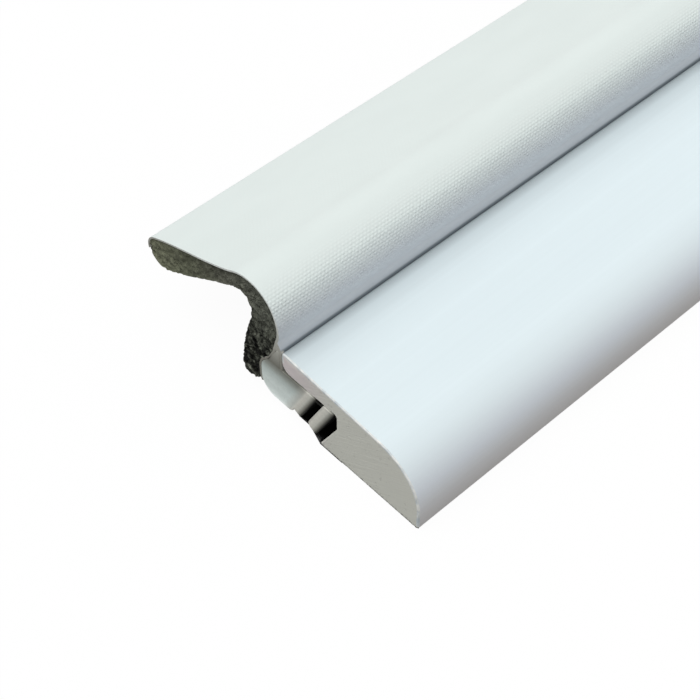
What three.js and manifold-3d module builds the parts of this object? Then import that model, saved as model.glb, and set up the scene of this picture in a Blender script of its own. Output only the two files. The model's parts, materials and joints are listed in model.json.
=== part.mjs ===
// A push-in foam seal in a white plastic carrier, for the bottom or the edge of a door.
//
// The strip lies on its flat back, as it does on a door's face. Its length runs along X.
// In its cross-section Y points from the carrier towards the soft leaf, and Z is the height
// above the back. The origin is in the middle of the flat back face.
//
// The carrier has a rounded far edge and a thin lip that covers a rebate. The barbed insert
// of the seal sits in that rebate. A foam core is bonded to the insert, and a thin film
// covers the core's front.

import * as THREE from 'three';
import * as BufferGeometryUtils from 'three/addons/utils/BufferGeometryUtils.js';
import Module from 'manifold-3d';

const wasm = await Module();
wasm.setup();

// Driving dimensions, in millimetres and degrees

const length = 914;

const carrier = {
	width: 24.3,
	lipHeight: 12.0,
	frontFall: 1.2,
	edgeRadius: 7.6,
	backCornerRadius: 0.5,
	lipThickness: 3.4,
	lipTopRadius: 0.6,
	lipUnderRadius: 1.6,
	rebateDepth: 9.8,
	rebateWall: 2.8,
	rebateFoot: 6.8,
	rebateFillet: 0.4,
};

const insert = {
	headWidth: 6.0,
	headOverhang: 4.1,
	headFoot: 1.6,
	headRadius: 2.6,
	heelRadius: 1.0,
	neckGap: 0.3,
	neckRoot: 2.4,
	neckTip: 0.6,
	neckRise: 3.3,
	spineThickness: 0.45,
	barbCount: 2,
	barbPlace: 5.12,
	barbPitch: 3.23,
	barbLean: 26,
	barbThickness: 1.85,
	barbLength: 6.4,
	barbLengthStep: 0.85,
	barbOuterRadius: 0.85,
	barbInnerRadius: 0.3,
};

const leaf = {
	rootHeight: 13.2,
	rootOffset: 3.35,
	flankLength: 1.2,
	flankLean: 13,
	bendRadius: 3.58,
	armDroop: 26,
	armLength: 17.1,
	rootThickness: 4.4,
	flankThickness: 4.75,
	kneeThickness: 4.65,
	kneePlace: 3.0,
	waistThickness: 2.4,
	waistPlace: 0.7,
	tipThickness: 4.8,
};

const tail = {
	length: 10.3,
	startLean: 25,
	endLean: 8,
	endThickness: 3.1,
};

const film = {
	rootThickness: 0.4,
	thickness: 0.25,
	rootGap: 0.5,
	tipWrap: 75,
};

const seatClearance = 0.3;
const bondLine = 0.1;
const curveStep = 0.35;
const arcStep = 6;

// Places that follow from the driving dimensions

const noseY = ( carrier.width + carrier.rebateFoot ) / 2;
const lipUnderside = carrier.lipHeight - carrier.lipThickness;
const insertTop = lipUnderside - seatClearance;
const barbRootHalf = insert.barbThickness / 2 / Math.cos( radians( insert.barbLean ) );
const hingeY = noseY + leaf.rootOffset;
const hingeZ = leaf.rootHeight;
const bendTurn = 90 + leaf.flankLean + leaf.armDroop;
const bendLength = leaf.bendRadius * radians( bendTurn );
const leafLength = leaf.flankLength + bendLength + leaf.armLength;

function radians( degrees ) {

	return THREE.MathUtils.degToRad( degrees );

}

// Points of a round corner, turned through from one direction to another

function arc( y, z, radius, from, to ) {

	const steps = Math.max( 1, Math.ceil( Math.abs( to - from ) / arcStep ) );
	const points = [];
	for ( let i = 0; i <= steps; i ++ ) {

		const angle = radians( from + ( to - from ) * i / steps );
		points.push( new THREE.Vector2( y + radius * Math.cos( angle ), z + radius * Math.sin( angle ) ) );

	}

	return points;

}

// A cross-section drawn in Y and Z, drawn out to the strip's length along X

function drawOut( points ) {

	const shape = new THREE.Shape( points );
	const geometry = new THREE.ExtrudeGeometry( shape, { depth: length, bevelEnabled: false } );
	geometry.translate( 0, 0, - length / 2 );
	const axes = new THREE.Matrix4().makeBasis(
		new THREE.Vector3( 0, 1, 0 ),
		new THREE.Vector3( 0, 0, 1 ),
		new THREE.Vector3( 1, 0, 0 ),
	);
	return geometry.applyMatrix4( axes );

}

function solidFrom( geometry ) {

	const bare = geometry.clone();
	bare.deleteAttribute( 'normal' );
	bare.deleteAttribute( 'uv' );
	const merged = BufferGeometryUtils.mergeVertices( bare, 1e-5 );
	const vertProperties = new Float32Array( merged.attributes.position.array );
	const triVerts = new Uint32Array( merged.index.array );
	return new wasm.Manifold( new wasm.Mesh( { numProp: 3, vertProperties, triVerts } ) );

}

function geometryFrom( solid ) {

	const mesh = solid.getMesh();
	const geometry = new THREE.BufferGeometry();
	geometry.setAttribute( 'position', new THREE.BufferAttribute( mesh.vertProperties, 3 ) );
	geometry.setIndex( new THREE.BufferAttribute( mesh.triVerts, 1 ) );
	geometry.computeVertexNormals();
	return geometry;

}

// Carrier: a rounded bar with a thin lip over the rebate that takes the seal

function carrierSection() {

	const c = carrier;
	const farY = noseY - c.width;
	const frontSlope = THREE.MathUtils.radToDeg( Math.atan( c.frontFall / c.width ) );
	const edgeTop = c.lipHeight - c.frontFall;
	const wallY = noseY - c.rebateDepth;
	const footY = noseY - c.rebateFoot;
	return [
		...arc( noseY - c.lipUnderRadius, lipUnderside + c.lipUnderRadius, c.lipUnderRadius, - 90, 0 ),
		...arc( noseY - c.lipTopRadius, c.lipHeight - c.lipTopRadius, c.lipTopRadius, 0, 90 + frontSlope ),
		...arc( farY + c.edgeRadius, edgeTop - c.edgeRadius, c.edgeRadius, 90 + frontSlope, 180 ),
		...arc( farY + c.backCornerRadius, c.backCornerRadius, c.backCornerRadius, 180, 270 ),
		new THREE.Vector2( footY, 0 ),
		new THREE.Vector2( wallY, lipUnderside - c.rebateWall ),
		...arc( wallY + c.rebateFillet, lipUnderside - c.rebateFillet, c.rebateFillet, 180, 90 ),
	];

}

// Insert: a round head with a heel at its inner side, a tapered neck between the core and
// the lip, a thin spine under the lip, and barbs that lean back towards the mouth

function headSection( growth ) {

	const right = noseY + insert.headOverhang + growth;
	const left = right - insert.headWidth - 2 * growth;
	const foot = insert.headFoot - growth;
	const top = insertTop + growth;
	const radius = insert.headRadius + growth;
	const heel = insert.heelRadius + growth;
	return [
		...arc( right - radius, top - radius, radius, 0, 90 ),
		new THREE.Vector2( noseY - insert.barbPlace + insert.barbThickness / 2, top ),
		...arc( left + heel, foot + heel, heel, 180, 270 ),
		...arc( right - radius, foot + radius, radius, 270, 360 ),
	];

}

function neckSection( growth ) {

	const front = noseY + insert.neckGap - growth;
	const tipRadius = insert.neckTip / 2 + growth;
	const tipZ = insertTop + insert.neckRise - insert.neckTip / 2;
	const baseZ = insertTop - insert.spineThickness;
	return [
		...arc( front + tipRadius, tipZ, tipRadius, 0, 180 ),
		new THREE.Vector2( front, baseZ ),
		new THREE.Vector2( front + insert.neckRoot + 2 * growth, baseZ ),
	];

}

function spineSection() {

	const start = noseY;
	const end = noseY - insert.barbPlace - insert.barbPitch * ( insert.barbCount - 1 ) - barbRootHalf;
	return [
		new THREE.Vector2( end, insertTop ),
		new THREE.Vector2( end, insertTop - insert.spineThickness ),
		new THREE.Vector2( start, insertTop - insert.spineThickness ),
		new THREE.Vector2( start, insertTop ),
	];

}

// Each barb is longer than the one before it, and its outer corner is the rounder one

function barbSection( place ) {

	const reach = insert.barbLength + insert.barbLengthStep * place;
	const rootY = noseY - insert.barbPlace - insert.barbPitch * place;
	const rootZ = insertTop - insert.spineThickness / 2;
	const corner = ( side, radius ) => {

		const middle = new THREE.Vector2( side * ( insert.barbThickness / 2 - radius ), radius - reach );
		middle.rotateAround( new THREE.Vector2(), radians( insert.barbLean ) );
		const from = insert.barbLean + 225 + 45 * side;
		return arc( rootY + middle.x, rootZ + middle.y, radius, from, from + 90 );

	};

	return [
		new THREE.Vector2( rootY + barbRootHalf, rootZ ),
		new THREE.Vector2( rootY - barbRootHalf, rootZ ),
		...corner( - 1, insert.barbInnerRadius ),
		...corner( 1, insert.barbOuterRadius ),
	];

}

function insertGeometry() {

	let solid = solidFrom( drawOut( headSection( 0 ) ) );
	solid = solid.add( solidFrom( drawOut( neckSection( 0 ) ) ) );
	solid = solid.add( solidFrom( drawOut( spineSection() ) ) );
	for ( let place = 0; place < insert.barbCount; place ++ ) {

		solid = solid.add( solidFrom( drawOut( barbSection( place ) ) ) );

	}

	return geometryFrom( solid );

}

// Leaf: its middle line leaves the hinge, leans over the lip, bends back and droops. Places
// on it are measured from the hinge, in the leaf's own frame.

function leafLine( distance ) {

	const start = 90 + leaf.flankLean;
	const along = ( angle ) => new THREE.Vector2( Math.cos( radians( angle ) ), Math.sin( radians( angle ) ) );
	const flank = Math.min( distance, leaf.flankLength );
	const bend = THREE.MathUtils.clamp( distance - leaf.flankLength, 0, bendLength );
	const arm = Math.max( distance - leaf.flankLength - bendLength, 0 );
	const heading = start - bendTurn * bend / bendLength;
	const point = along( start ).multiplyScalar( flank );
	point.add( along( start - 90 ).multiplyScalar( leaf.bendRadius ) );
	point.add( along( heading + 90 ).multiplyScalar( leaf.bendRadius ) );
	point.add( along( heading ).multiplyScalar( arm ) );
	return { point, front: along( heading + 90 ), heading };

}

// The core stays thick round the knee, the bend's first part, and is thinnest at the waist,
// where the arm leaves the bend

const leafThickness = [
	[ 0, leaf.rootThickness ],
	[ leaf.flankLength, leaf.flankThickness ],
	[ leaf.flankLength + leaf.kneePlace, leaf.kneeThickness ],
	[ leaf.flankLength + bendLength + leaf.waistPlace, leaf.waistThickness ],
	[ leafLength, leaf.tipThickness ],
];

function thicknessAt( stations, distance ) {

	let i = 1;
	while ( i < stations.length - 1 && stations[ i ][ 0 ] < distance ) i ++;
	const [ from, thin ] = stations[ i - 1 ];
	const [ to, thick ] = stations[ i ];
	return THREE.MathUtils.lerp( thin, thick, THREE.MathUtils.smoothstep( distance, from, to ) );

}

// The film is thicker beside the lip, where the neck's tip is rolled into it

const filmThickness = [
	[ 0, film.rootThickness ],
	[ leaf.flankLength, film.rootThickness ],
	[ leaf.flankLength + leaf.kneePlace, film.thickness ],
];

// The front or the back of the core, or a line at some distance in front of it

function leafSide( side, from, offsetAt ) {

	const steps = Math.ceil( ( leafLength - from ) / curveStep );
	const points = [];
	for ( let i = 0; i <= steps; i ++ ) {

		const distance = from + ( leafLength - from ) * i / steps;
		const { point, front } = leafLine( distance );
		const reach = side * ( thicknessAt( leafThickness, distance ) / 2 + offsetAt( distance ) );
		points.push( point.addScaledVector( front, reach ) );

	}

	return points;

}

function leafSection() {

	const tip = leafLine( leafLength );
	const root = leafLine( 0 );
	const tipRadius = leaf.tipThickness / 2;
	const tipCap = arc( tip.point.x, tip.point.y, tipRadius, tip.heading + 90, tip.heading - 90 );
	const knuckle = arc( 0, 0, leaf.rootThickness / 2, root.heading - 90, root.heading - 270 );
	return [
		...leafSide( 1, 0, () => 0 ),
		...tipCap.slice( 1, - 1 ),
		...leafSide( - 1, 0, () => 0 ).reverse(),
		...knuckle.slice( 1, - 1 ),
	];

}

// Film: a thin skin on the core's front, turned over the tip

function filmSection() {

	const tip = leafLine( leafLength );
	const wrapEnd = tip.heading + 90 - film.tipWrap;
	const under = () => bondLine;
	const over = ( distance ) => bondLine + thicknessAt( filmThickness, distance );
	const lap = ( offsetAt ) => arc(
		tip.point.x, tip.point.y, leaf.tipThickness / 2 + offsetAt( leafLength ), tip.heading + 90, wrapEnd,
	).slice( 1 );
	return [
		...leafSide( 1, film.rootGap, over ),
		...lap( over ),
		...lap( under ).reverse(),
		...leafSide( 1, film.rootGap, under ).reverse(),
	];

}

// Root of the core: it runs down beside the insert's head, and is hollowed where the leaf
// turns in it

function tailSection() {

	const turn = tail.startLean - tail.endLean;
	const radius = tail.length / radians( turn );
	const steps = Math.ceil( tail.length / curveStep );
	const front = [];
	const back = [];
	for ( let i = 0; i <= steps; i ++ ) {

		const lean = tail.startLean - turn * i / steps;
		const drop = radius * ( Math.sin( radians( tail.startLean ) ) - Math.sin( radians( lean ) ) );
		const shift = radius * ( Math.cos( radians( lean ) ) - Math.cos( radians( tail.startLean ) ) );
		const point = new THREE.Vector2( hingeY + shift, hingeZ - drop );
		const toFront = new THREE.Vector2( - Math.cos( radians( lean ) ), - Math.sin( radians( lean ) ) );
		const half = THREE.MathUtils.lerp( leaf.rootThickness, tail.endThickness, i / steps ) / 2;
		front.push( point.clone().addScaledVector( toFront, half ) );
		back.push( point.clone().addScaledVector( toFront, - half ) );

	}

	const end = front.at( - 1 ).clone().add( back.at( - 1 ) ).multiplyScalar( 0.5 );
	const cap = arc( end.x, end.y, tail.endThickness / 2, 180 + tail.endLean, 360 + tail.endLean );
	return [ ...back.reverse(), ...front, ...cap.slice( 1, - 1 ) ];

}

function foamRootGeometry() {

	const hollow = arc( hingeY, hingeZ, leaf.rootThickness / 2 + seatClearance, 0, 360 ).slice( 1 );
	let solid = solidFrom( drawOut( tailSection() ) );
	for ( const cut of [ hollow, headSection( seatClearance ), neckSection( seatClearance ) ] ) {

		solid = solid.subtract( solidFrom( drawOut( cut ) ) );

	}

	return geometryFrom( solid );

}

function piece( name, geometry, color, roughness ) {

	const material = new THREE.MeshStandardMaterial( { color, roughness, metalness: 0 } );
	const mesh = new THREE.Mesh( geometry, material );
	mesh.name = name;
	return mesh;

}

const seal = new THREE.Group();
seal.add( piece( 'barbed_insert', insertGeometry(), 0xb4bcb4, 0.45 ) );
seal.add( piece( 'foam_root', foamRootGeometry(), 0x2c2d26, 0.95 ) );

const leafGroup = new THREE.Group();
leafGroup.position.set( 0, hingeY, hingeZ );
leafGroup.add( piece( 'foam_leaf', drawOut( leafSection() ), 0x4c4d46, 0.95 ) );
leafGroup.add( piece( 'film_skin', drawOut( filmSection() ), 0xe2ebe8, 0.55 ) );
seal.add( leafGroup );

const doorSweep = new THREE.Group();
doorSweep.add( piece( 'carrier', drawOut( carrierSection() ), 0xe6ebf0, 0.4 ) );
doorSweep.add( seal );

export default doorSweep;
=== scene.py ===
# %% [markdown]
# # A door sweep with a push-in foam seal
#
# The strip is two things side by side: a rigid white carrier with a flat back, and a soft
# seal that hooks over beside it. The seal has a dark foam core, a thin woven film on its
# front and a pale barbed insert that sits under the carrier's lip. All of it is extruded,
# so each piece starts as a cross-section on the near cut and is drawn out along the length.

# %% Load the fixed frame
import json
import math

import bmesh
import bpy
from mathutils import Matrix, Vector, kdtree, noise


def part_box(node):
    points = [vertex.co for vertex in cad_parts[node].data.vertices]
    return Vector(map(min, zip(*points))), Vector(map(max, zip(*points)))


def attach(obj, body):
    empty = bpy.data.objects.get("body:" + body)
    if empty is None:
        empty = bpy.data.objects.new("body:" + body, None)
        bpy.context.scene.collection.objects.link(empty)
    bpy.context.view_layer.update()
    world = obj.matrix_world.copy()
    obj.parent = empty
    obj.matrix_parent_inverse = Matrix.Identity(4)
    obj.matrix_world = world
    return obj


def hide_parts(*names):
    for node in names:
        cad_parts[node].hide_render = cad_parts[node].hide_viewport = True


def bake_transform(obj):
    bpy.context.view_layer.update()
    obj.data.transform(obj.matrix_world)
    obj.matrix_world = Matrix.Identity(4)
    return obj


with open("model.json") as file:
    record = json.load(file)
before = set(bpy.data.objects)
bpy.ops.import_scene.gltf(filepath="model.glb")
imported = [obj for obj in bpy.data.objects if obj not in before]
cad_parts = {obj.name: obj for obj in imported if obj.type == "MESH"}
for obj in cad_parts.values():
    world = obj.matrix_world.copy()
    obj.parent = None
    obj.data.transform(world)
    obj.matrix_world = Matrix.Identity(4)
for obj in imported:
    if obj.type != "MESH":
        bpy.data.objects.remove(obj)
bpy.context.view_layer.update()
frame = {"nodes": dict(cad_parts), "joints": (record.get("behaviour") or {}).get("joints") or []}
for name in sorted(frame["nodes"]):
    low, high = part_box(name)
    print(name, "from", [round(v, 4) for v in low], "to", [round(v, 4) for v in high])

# %% [markdown]
# ## Places
#
# The frame gives where the pieces lie: the two cuts, the lip's nose, the back and the line
# that the leaf bends about. Everything else is a real size in millimetres, which the helper
# turns into metres.

# %% Places from the frame, in metres
MM = 0.001

carrier_low, carrier_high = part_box("carrier")
near_cut = carrier_low.x
far_cut = carrier_high.x
nose = carrier_high.y
far_edge = carrier_low.y
lip_top = carrier_high.z
strip_length = far_cut - near_cut

bend_joint = next(joint for joint in frame["joints"] if joint["name"] == "leaf_flex")
hinge = Vector(bend_joint["pos_m"])
print("length", round(strip_length, 4), "nose at", round(nose, 5), "hinge at", hinge[:])

# %% [markdown]
# ## Camera
#
# The lines along the strip meet at one point outside the picture. That gives a level camera
# with an 80 mm lens, looking down at 50 degrees from the near cut's side of the carrier.

# %% Camera
lens_mm = 80
sensor_mm = 36
camera_azimuth = -42.98
camera_elevation = 50.51
camera_place = Vector((-532.6, -77.85, 157.9)) * MM

camera_data = bpy.data.cameras.new("camera")
camera_data.lens = lens_mm
camera_data.sensor_width = sensor_mm
camera_data.clip_start = 0.01
camera_data.clip_end = 20
camera = bpy.data.objects.new("camera", camera_data)
camera.location = camera_place
camera.rotation_euler = (math.radians(90 - camera_elevation), 0, math.radians(camera_azimuth))
bpy.context.scene.collection.objects.link(camera)
bpy.context.scene.camera = camera
print("camera at", camera.location[:])

# %% [markdown]
# ## A pen for cross-sections
#
# A profile is easiest to draw as it is on paper: start at a point, go straight, go round a
# corner. Extruding one vertex draws a straight side, and spinning it draws an arc. When the
# outline closes it is filled and extruded along the strip.

# %% The pen
arc_step = 4.0
weld = 1e-6
lengthwise_share = 0.9


class Pen:
    """Draws one cross-section on the near cut, in edit mode, with a single vertex."""

    def __init__(self, name, y, z):
        bpy.ops.object.select_all(action="DESELECT")
        bpy.ops.mesh.primitive_plane_add(size=MM, location=(near_cut, y, z))
        self.piece = bpy.context.object
        self.piece.name = name
        self.piece.data.name = name
        bpy.ops.object.transform_apply(location=True, rotation=True, scale=True)
        bpy.ops.object.mode_set(mode="EDIT")
        bpy.ops.mesh.select_mode(type="VERT")
        bpy.ops.mesh.select_all(action="SELECT")
        bpy.ops.mesh.merge(type="CENTER")
        self.place = Vector((y, z))

    def line(self, y, z):
        step = Vector((y, z)) - self.place
        bpy.ops.mesh.extrude_vertices_move(TRANSFORM_OT_translate={"value": (0, step.x, step.y)})
        self.place = Vector((y, z))

    def arc(self, y, z, turn):
        """Goes round the centre y, z by turn degrees, positive from +Y towards +Z."""
        steps = max(2, math.ceil(abs(turn) / arc_step))
        angle = math.radians(turn)
        bpy.ops.mesh.spin(steps=steps, angle=-angle, center=(near_cut, y, z), axis=(1, 0, 0))
        arm = self.place - Vector((y, z))
        cosine, sine = math.cos(angle), math.sin(angle)
        turned = Vector((arm.x * cosine - arm.y * sine, arm.x * sine + arm.y * cosine))
        self.place = Vector((y, z)) + turned

    def follow(self, points):
        for point in points:
            self.line(point.x, point.y)

    def close(self):
        bpy.ops.mesh.select_all(action="SELECT")
        bpy.ops.mesh.remove_doubles(threshold=weld)
        bpy.ops.mesh.edge_face_add()


def select_faces(piece, wanted):
    """Selects in edit mode the faces for which wanted(face) is true, and counts them."""
    mesh = bmesh.from_edit_mesh(piece.data)
    bpy.ops.mesh.select_all(action="DESELECT")
    bpy.ops.mesh.select_mode(type="FACE")
    for face in mesh.faces:
        face.select_set(wanted(face))
    mesh.select_flush_mode()
    bmesh.update_edit_mesh(piece.data)
    return sum(face.select for face in mesh.faces)


def select_edges(piece, wanted):
    """Selects in edit mode the edges for which wanted(edge) is true."""
    mesh = bmesh.from_edit_mesh(piece.data)
    bpy.ops.mesh.select_mode(type="EDGE")
    bpy.ops.mesh.select_all(action="DESELECT")
    for edge in mesh.edges:
        edge.select_set(wanted(edge))
    bmesh.update_edit_mesh(piece.data)


def on_a_cut(vertex):
    """True for a vertex that lies on the near or the far cut."""
    return min(abs(vertex.co.x - near_cut), abs(vertex.co.x - far_cut)) < weld


def runs_lengthwise(edge):
    side = edge.verts[1].co - edge.verts[0].co
    return abs(side.x) > lengthwise_share * side.length


def draw_out(piece, rings):
    """Extrudes the filled section to the far cut, with so many loops along the way."""
    bpy.ops.mesh.extrude_region_move(TRANSFORM_OT_translate={"value": (strip_length, 0, 0)})
    bpy.ops.mesh.select_all(action="SELECT")
    bpy.ops.mesh.normals_make_consistent(inside=False)
    if rings:
        select_edges(piece, runs_lengthwise)
        bpy.ops.mesh.subdivide(number_cuts=rings)


def faces_the_length(face):
    return abs(face.normal.x) > lengthwise_share


def blunt_cuts(piece, width):
    """Takes the sharp edge off both cuts: draws their rims back, then insets the faces."""
    for cut, inwards in ((near_cut, width), (far_cut, -width)):
        select_faces(piece, lambda face: abs(face.calc_center_median().x - cut) < weld)
        bpy.ops.transform.translate(value=(inwards, 0, 0))
        bpy.ops.mesh.inset(thickness=width, depth=width)


# Edges flatter than this many degrees are shaded smooth
smooth_hard = 25
smooth_soft = 60


def finish_piece(piece, smooth_below):
    """Leaves edit mode and smooths the shading of all edges flatter than the angle."""
    bpy.ops.object.mode_set(mode="OBJECT")
    bpy.ops.object.select_all(action="DESELECT")
    piece.select_set(True)
    bpy.context.view_layer.objects.active = piece
    bpy.ops.object.shade_smooth_by_angle(angle=math.radians(smooth_below))
    print(piece.name, len(piece.data.polygons), "faces")


# %% [markdown]
# ## Carrier
#
# The carrier is a solid bar of foamed plastic with a smooth white skin. It falls slightly
# from the lip to a big round far edge, and a thin lip with a round nose covers the rebate.
# It could be cut from a box, but the section shows all its sizes at once, so it is drawn.

# %% Carrier section
lip_thickness = 3.4 * MM
lip_top_radius = 0.6 * MM
lip_under_radius = 1.6 * MM
front_fall = 1.2 * MM
edge_radius = 7.6 * MM
back_radius = 0.5 * MM
rebate_depth = 9.8 * MM
rebate_wall = 2.8 * MM
rebate_foot = 6.8 * MM
rebate_fillet = 0.4 * MM
carrier_rings = 29

lip_underside = lip_top - lip_thickness
carrier_width = nose - far_edge
front_slope = math.degrees(math.atan(front_fall / carrier_width))


def drawn_carrier():
    pen = Pen("carrier_bar", nose - lip_under_radius, lip_underside)
    pen.arc(nose - lip_under_radius, lip_underside + lip_under_radius, 90)
    pen.line(nose, lip_top - lip_top_radius)
    pen.arc(nose - lip_top_radius, lip_top - lip_top_radius, 90 + front_slope)
    edge_y = far_edge + edge_radius
    edge_z = lip_top - front_fall - edge_radius
    start = math.radians(90 + front_slope)
    pen.line(edge_y + edge_radius * math.cos(start), edge_z + edge_radius * math.sin(start))
    pen.arc(edge_y, edge_z, 90 - front_slope)
    pen.line(far_edge, back_radius)
    pen.arc(far_edge + back_radius, back_radius, 90)
    pen.line(nose - rebate_foot, 0)
    wall_y = nose - rebate_depth
    pen.line(wall_y, lip_underside - rebate_wall)
    pen.line(wall_y, lip_underside - rebate_fillet)
    pen.arc(wall_y + rebate_fillet, lip_underside - rebate_fillet, -90)
    pen.line(nose - lip_under_radius, lip_underside)
    pen.close()
    draw_out(pen.piece, carrier_rings)
    return pen.piece


carrier = drawn_carrier()

# %% [markdown]
# A saw leaves three things on the cut: the duller core, a pale frayed rim where the blade
# broke the front skin, lightened with a painted highlight, and small burrs where it came out at
# the back. The rim is a blunted edge and a narrow inset, and the burrs are the back edge cut
# into short lengths and shaken.

# %% Carrier's saw cuts
rim_width = 0.24 * MM
cut_edge = 0.16 * MM
rebate_margin = 1.0 * MM
facing_a_cut = 0.3
burr_depth = 2 * cut_edge
burr_height = 1.1 * cut_edge
burr_cuts = 70
burr_size = 0.09 * MM
burr_evenness = 0.3
burr_seed = 7

# The carrier's materials after the first, which is its skin
CORE, RIM = 1, 2


def by_front_skin(place):
    """True beside the top, the round far edge and the nose."""
    behind_lip = place.y > nose - rebate_depth - rebate_margin
    in_rebate = behind_lip and place.z < lip_underside + lip_under_radius
    return place.z > 2 * rim_width and not in_rebate


def mark_cuts(piece):
    """Gives both cuts the core's material, with a pale rim of painted highlight beside the front
    skin.
    """
    select_faces(piece, faces_the_length)
    bpy.ops.mesh.inset(thickness=rim_width, use_boundary=True)
    mesh = bmesh.from_edit_mesh(piece.data)
    for face in mesh.faces:
        if abs(face.normal.x) > facing_a_cut:
            in_rim = not face.select and by_front_skin(face.calc_center_median())
            face.material_index = RIM if in_rim else CORE
    bmesh.update_edit_mesh(piece.data)


def leave_burrs(piece):
    """Breaks the back edge of both cuts into short lengths and shakes them."""

    def at_back(edge):
        near_a_cut = all(far_cut - abs(vertex.co.x) < burr_depth for vertex in edge.verts)
        low = all(vertex.co.z < burr_height for vertex in edge.verts)
        return near_a_cut and low and not runs_lengthwise(edge)

    select_edges(piece, at_back)
    bpy.ops.mesh.subdivide(number_cuts=burr_cuts)
    shake = {"offset": burr_size, "uniform": burr_evenness, "normal": 0, "seed": burr_seed}
    bpy.ops.transform.vertex_random(**shake)
    mesh = bmesh.from_edit_mesh(piece.data)
    for vertex in mesh.verts:
        vertex.co.z = max(vertex.co.z, 0)
        vertex.co.x = min(max(vertex.co.x, near_cut), far_cut)
    bmesh.update_edit_mesh(piece.data)


blunt_cuts(carrier, cut_edge)
mark_cuts(carrier)
leave_burrs(carrier)
finish_piece(carrier, smooth_hard)

# %% [markdown]
# ## Barbed insert
#
# The insert is the hard plastic spine of the seal. A fat round head closes the mouth, a thin
# neck goes up beside the foam, and two barbs lean back towards the mouth, so that the seal
# goes in easily and comes out hard. It is one extrusion, so its outline is drawn in one go.

# %% Insert section
seat_gap = 0.3 * MM
head_width = 6.0 * MM
head_overhang = 4.1 * MM
head_foot = 1.6 * MM
head_radius = 2.6 * MM
heel_radius = 1.0 * MM
shoulder_turn = 50
neck_gap = 0.42 * MM
neck_root = 2.3 * MM
neck_tip = 0.6 * MM
neck_rise = 3.3 * MM
spine_thickness = 0.45 * MM
insert_edge = 0.06 * MM
insert_rings = 29

insert_top = lip_underside - seat_gap
spine_z = insert_top - spine_thickness
head_right = nose + head_overhang
head_left = head_right - head_width
neck_front = nose + neck_gap
neck_top = insert_top + neck_rise - neck_tip / 2
neck_lean = math.atan((neck_root - neck_tip) / (neck_top - spine_z))

# %% Barbs
barb_count = 2
barb_place = 5.12 * MM
barb_pitch = 3.23 * MM
barb_lean = 26
barb_thickness = 1.85 * MM
barb_length = 6.4 * MM
barb_length_step = 0.85 * MM
barb_outer_radius = 0.85 * MM
barb_inner_radius = 0.3 * MM
notch_turn = 28


def heading(degrees):
    return Vector((math.cos(math.radians(degrees)), math.sin(math.radians(degrees))))


def draw_barb(pen, place):
    """Goes down a barb's inner side and round its end, up to the notch or to its root."""
    down, across = heading(barb_lean - 90), heading(barb_lean)
    root = Vector((nose - barb_place - barb_pitch * place, insert_top - spine_thickness / 2))
    reach = barb_length + barb_length_step * place
    half = barb_thickness / 2
    inner = root + (reach - barb_inner_radius) * down - (half - barb_inner_radius) * across
    outer = root + (reach - barb_outer_radius) * down + (half - barb_outer_radius) * across
    root_half = half / across.x
    drop = spine_thickness / 2 * math.tan(math.radians(barb_lean))
    pen.line(root.x + drop - root_half, spine_z)
    pen.line(*(inner - barb_inner_radius * across))
    pen.arc(*inner, 90)
    pen.line(*(outer + barb_outer_radius * down))
    if place:
        pen.arc(*outer, 90)
        pen.line(root.x + drop + root_half, spine_z)
    else:
        pen.arc(*outer, notch_turn)


def drawn_insert():
    root_half = barb_thickness / 2 / heading(barb_lean).x
    spine_end = nose - barb_place - barb_pitch * (barb_count - 1) - root_half
    pen = Pen("barbed_insert_bar", spine_end, insert_top)
    for place in reversed(range(barb_count)):
        draw_barb(pen, place)
    pen.line(head_left, head_foot + heel_radius)
    pen.arc(head_left + heel_radius, head_foot + heel_radius, 90)
    pen.line(head_right - head_radius, head_foot)
    pen.arc(head_right - head_radius, head_foot + head_radius, 90)
    pen.line(head_right, insert_top - head_radius)
    pen.arc(head_right - head_radius, insert_top - head_radius, shoulder_turn)
    pen.line(neck_front + neck_tip, neck_top)
    pen.arc(neck_front + neck_tip / 2, neck_top, 180)
    pen.line(neck_front, insert_top)
    pen.line(spine_end, insert_top)
    pen.close()
    draw_out(pen.piece, insert_rings)
    return pen.piece


insert = drawn_insert()
blunt_cuts(insert, insert_edge)
finish_piece(insert, smooth_hard)

# %% [markdown]
# ## The seal's leaf
#
# The foam leaves the neck, leans over the lip, bends back through more than a right angle
# and droops to a thick round tip. Its middle line is a short straight, an arc and a long
# straight, and its thickness goes smoothly from one named value to the next.

# %% The leaf's middle line and thickness
flank_length = 1.2 * MM
flank_lean = 13
bend_radius = 3.58 * MM
arm_droop = 26
arm_length = 17.1 * MM
root_thickness = 4.4 * MM
flank_thickness = 4.75 * MM
knee_thickness = 4.65 * MM
knee_place = 3.0 * MM
waist_thickness = 2.4 * MM
waist_place = 0.7 * MM
tip_thickness = 4.8 * MM

bend_turn = 90 + flank_lean + arm_droop
bend_length = bend_radius * math.radians(bend_turn)
leaf_length = flank_length + bend_length + arm_length
hinge_place = Vector((hinge.y, hinge.z))

thickness_stations = [
    (0, root_thickness),
    (flank_length, flank_thickness),
    (flank_length + knee_place, knee_thickness),
    (flank_length + bend_length + waist_place, waist_thickness),
    (leaf_length, tip_thickness),
]


def leaf_line(distance):
    """A point of the middle line in Y and Z, and the line's direction there in degrees."""
    start = 90 + flank_lean
    flank = min(distance, flank_length)
    bend = min(max(distance - flank_length, 0), bend_length)
    arm = max(distance - flank_length - bend_length, 0)
    direction = start - bend_turn * bend / bend_length
    point = hinge_place + flank * heading(start)
    point += bend_radius * (heading(start - 90) + heading(direction + 90))
    point += arm * heading(direction)
    return point, direction


def smooth_between(stations, distance):
    """The value at a distance, eased from one station to the next."""
    for (start, first), (end, second) in zip(stations, stations[1:]):
        if distance <= end:
            break
    share = min(max((distance - start) / (end - start), 0), 1)
    share = share * share * (3 - 2 * share)
    return first + (second - first) * share


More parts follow.
